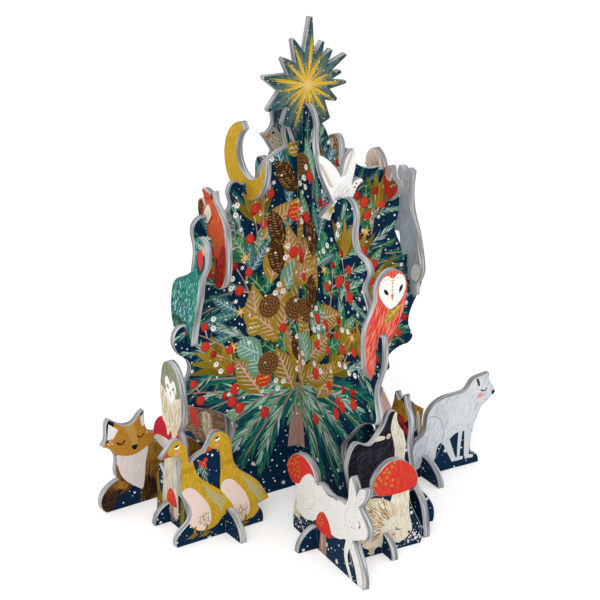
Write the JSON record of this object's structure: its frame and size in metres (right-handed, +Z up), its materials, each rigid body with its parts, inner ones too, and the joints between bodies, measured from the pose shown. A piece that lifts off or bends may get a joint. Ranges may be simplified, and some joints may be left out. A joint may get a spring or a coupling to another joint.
{
  "type": "advent calendar",
  "caption": "Free-standing fir-tree advent calendar of thick printed boards that slot together, with animals hung on the crossed tree boards and woodland figures round its foot.",
  "frame": {"origin": "on the ground, under the vertical line where the two tree boards cross", "axes": "+Z up; +X along tree board A, whose front faces -Y; tree board B and its dove point towards -Y"},
  "size_m": [0.34, 0.3013, 0.4],
  "materials": {
    "navy_print": "deep navy print with snow, sprigs, leaves, berries and cones, matt, with bare grey cut edges",
    "star_print": "gold rays printed on grey green, matt, with bare grey cut edges",
    "gold_print": "golden ochre print, matt, with bare grey cut edges",
    "white_print": "warm white print, matt, with bare grey cut edges",
    "red_print": "coral red print, matt, with bare grey cut edges",
    "teal_print": "mottled teal print, matt, with bare grey cut edges",
    "grey_print": "pale blue-grey print, matt, with bare grey cut edges",
    "brown_print": "brown print, matt, with bare grey cut edges",
    "black_print": "near-black print with fine strokes, matt, with bare grey cut edges"
  },
  "bodies": {
    "root": {"tree_board_a": "navy_print", "tree_board_b": "navy_print", "bank": "navy_print", "fox_foot": "navy_print", "snowy_owl_foot": "navy_print", "ducks_foot": "navy_print", "hare_foot": "navy_print", "hedgehog_foot": "navy_print", "arctic_fox_foot": "navy_print", "stoat_foot": "navy_print", "star": "star_print", "moon": "gold_print", "fox": "gold_print", "ducks": "gold_print", "stoat": "gold_print", "dove": "white_print", "snowy_owl": "white_print", "hare": "white_print", "hedgehog": "white_print", "arctic_fox": "white_print", "owl": "red_print", "marten": "red_print", "cub": "red_print", "pheasant": "teal_print", "thrush": "grey_print", "tall_hare": "grey_print", "finch": "brown_print", "robin": "brown_print", "log": "brown_print", "badger": "black_print"}
  },
  "joints": []
}
